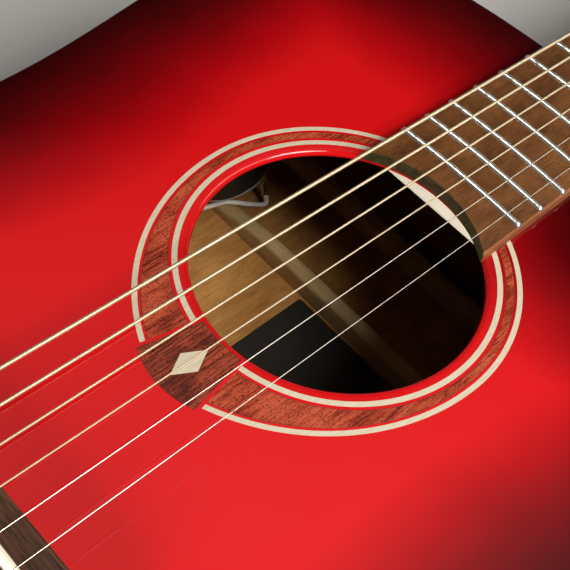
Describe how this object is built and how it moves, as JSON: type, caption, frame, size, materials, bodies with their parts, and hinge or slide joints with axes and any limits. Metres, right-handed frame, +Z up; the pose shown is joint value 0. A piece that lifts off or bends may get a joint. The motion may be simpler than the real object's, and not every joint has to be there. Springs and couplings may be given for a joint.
{
  "type": "acoustic guitar",
  "caption": "Steel-string acoustic guitar with a single cutaway, a red gloss top, a teardrop rosette, a pinned bridge and open-geared tuners that turn.",
  "frame": {"origin": "bottom centre of the bounding box, on the plane the flat back rests on", "axes": "+Z up out of the soundboard, +Y along the strings to the headstock, +X to the treble side"},
  "size_m": [0.398, 1.057, 0.129],
  "materials": {
    "lacquered_top": "clear gloss over red stain, black-red at the edges",
    "body_wood": "gloss red-brown",
    "block_wood": "bare",
    "brace_wood": "bare",
    "dark_wood": "oiled, fine open pores",
    "rosette_wood": "gloss, streaked",
    "pale_inlay": "gloss cream",
    "bone": "polished off-white",
    "nickel": "polished",
    "wound_string": "close-wound bronze wire",
    "plain_string": "drawn wire",
    "black_plastic": "satin black",
    "lead_jacket": "soft off-white jacket",
    "label_paper": "plain near-black paper"
  },
  "bodies": {
    "guitar": {"soundboard": "lacquered_top", "side_bass": "body_wood", "side_treble": "body_wood", "back_plate": "body_wood", "neck": "body_wood", "neck_block": "block_wood", "end_block": "block_wood", "top_lining": "brace_wood", "back_lining": "brace_wood", "x_brace": "brace_wood", "transverse_brace": "brace_wood", "back_brace_1": "brace_wood", "back_brace_2": "brace_wood", "back_brace_3": "brace_wood", "bridge_plate": "dark_wood", "bridge": "dark_wood", "fretboard": "dark_wood", "headplate": "dark_wood", "rosette_band": "rosette_wood", "rosette_badge": "rosette_wood", "rosette_inner_line": "pale_inlay", "rosette_outer_line": "pale_inlay", "badge_inlay": "pale_inlay", "nut": "bone", "saddle": "bone", "maker_label": "label_paper", "strap_button": "nickel", "end_pin_jack": "nickel", "tuner_plate_bass": "nickel", "tuner_plate_treble": "nickel", "preamp_housing": "black_plastic", "pickup": "lead_jacket", "string_1": "wound_string", "bridge_pin_1": "bone", "string_2": "wound_string", "bridge_pin_2": "bone", "string_3": "wound_string", "bridge_pin_3": "bone", "string_4": "wound_string", "bridge_pin_4": "bone", "string_5": "plain_string", "bridge_pin_5": "bone", "string_6": "plain_string", "bridge_pin_6": "bone"},
    "tuner_1_key": {"tuner_1_key": "nickel"},
    "tuner_1_post": {"tuner_1_post": "nickel"},
    "tuner_2_key": {"tuner_2_key": "nickel"},
    "tuner_2_post": {"tuner_2_post": "nickel"},
    "tuner_3_key": {"tuner_3_key": "nickel"},
    "tuner_3_post": {"tuner_3_post": "nickel"},
    "tuner_4_key": {"tuner_4_key": "nickel"},
    "tuner_4_post": {"tuner_4_post": "nickel"},
    "tuner_5_key": {"tuner_5_key": "nickel"},
    "tuner_5_post": {"tuner_5_post": "nickel"},
    "tuner_6_key": {"tuner_6_key": "nickel"},
    "tuner_6_post": {"tuner_6_post": "nickel"},
    "volume_knob": {"volume_knob": "black_plastic"},
    "tone_knob": {"tone_knob": "black_plastic"},
    "tuner_switch": {"tuner_switch": "black_plastic"},
    "battery_drawer": {"battery_drawer": "black_plastic"}
  },
  "joints": [
    {"name": "key_1_turn", "type": "hinge", "parent": "guitar", "child": "tuner_1_key", "pos_m": [-0.0215, 0.38629, 0.06255], "axis": [1, 0, 0], "continuous": true},
    {"name": "post_1_turn", "type": "hinge", "parent": "guitar", "child": "tuner_1_post", "pos_m": [-0.0215, 0.39797, 0.07882], "axis": [0, 0.2807, 0.9598], "continuous": true},
    {"name": "key_2_turn", "type": "hinge", "parent": "guitar", "child": "tuner_2_key", "pos_m": [-0.0215, 0.42276, 0.05188], "axis": [1, 0, 0], "continuous": true},
    {"name": "post_2_turn", "type": "hinge", "parent": "guitar", "child": "tuner_2_post", "pos_m": [-0.0215, 0.43444, 0.06816], "axis": [0, 0.2807, 0.9598], "continuous": true},
    {"name": "key_3_turn", "type": "hinge", "parent": "guitar", "child": "tuner_3_key", "pos_m": [-0.0215, 0.45923, 0.04122], "axis": [1, 0, 0], "continuous": true},
    {"name": "post_3_turn", "type": "hinge", "parent": "guitar", "child": "tuner_3_post", "pos_m": [-0.0215, 0.47092, 0.05749], "axis": [0, 0.2807, 0.9598], "continuous": true},
    {"name": "key_4_turn", "type": "hinge", "parent": "guitar", "child": "tuner_4_key", "pos_m": [0.0215, 0.45923, 0.04122], "axis": [1, 0, 0], "continuous": true},
    {"name": "post_4_turn", "type": "hinge", "parent": "guitar", "child": "tuner_4_post", "pos_m": [0.0215, 0.47092, 0.05749], "axis": [0, 0.2807, 0.9598], "continuous": true},
    {"name": "key_5_turn", "type": "hinge", "parent": "guitar", "child": "tuner_5_key", "pos_m": [0.0215, 0.42276, 0.05188], "axis": [1, 0, 0], "continuous": true},
    {"name": "post_5_turn", "type": "hinge", "parent": "guitar", "child": "tuner_5_post", "pos_m": [0.0215, 0.43444, 0.06816], "axis": [0, 0.2807, 0.9598], "continuous": true},
    {"name": "key_6_turn", "type": "hinge", "parent": "guitar", "child": "tuner_6_key", "pos_m": [0.0215, 0.38629, 0.06255], "axis": [1, 0, 0], "continuous": true},
    {"name": "post_6_turn", "type": "hinge", "parent": "guitar", "child": "tuner_6_post", "pos_m": [0.0215, 0.39797, 0.07882], "axis": [0, 0.2807, 0.9598], "continuous": true},
    {"name": "volume_knob_turn", "type": "hinge", "parent": "guitar", "child": "volume_knob", "pos_m": [-0.1495, -0.11334, 0.06431], "axis": [-1, 0, 0], "range_deg": [-140, 140]},
    {"name": "tone_knob_turn", "type": "hinge", "parent": "guitar", "child": "tone_knob", "pos_m": [-0.1495, -0.09635, 0.06362], "axis": [-1, 0, 0], "range_deg": [-140, 140]},
    {"name": "tuner_switch_press", "type": "slide", "parent": "guitar", "child": "tuner_switch", "axis": [1, 0, 0], "range_m": [0, 0.0015], "stiffness_N_per_m": 400},
    {"name": "battery_drawer_slide", "type": "slide", "parent": "guitar", "child": "battery_drawer", "axis": [-1, 0, 0], "range_m": [0, 0.04]}
  ],
  "couplings": [
    {"joint": "post_1_turn", "follows": "key_1_turn", "ratio": -0.071429},
    {"joint": "post_2_turn", "follows": "key_2_turn", "ratio": -0.071429},
    {"joint": "post_3_turn", "follows": "key_3_turn", "ratio": -0.071429},
    {"joint": "post_4_turn", "follows": "key_4_turn", "ratio": -0.071429},
    {"joint": "post_5_turn", "follows": "key_5_turn", "ratio": -0.071429},
    {"joint": "post_6_turn", "follows": "key_6_turn", "ratio": -0.071429}
  ]
}
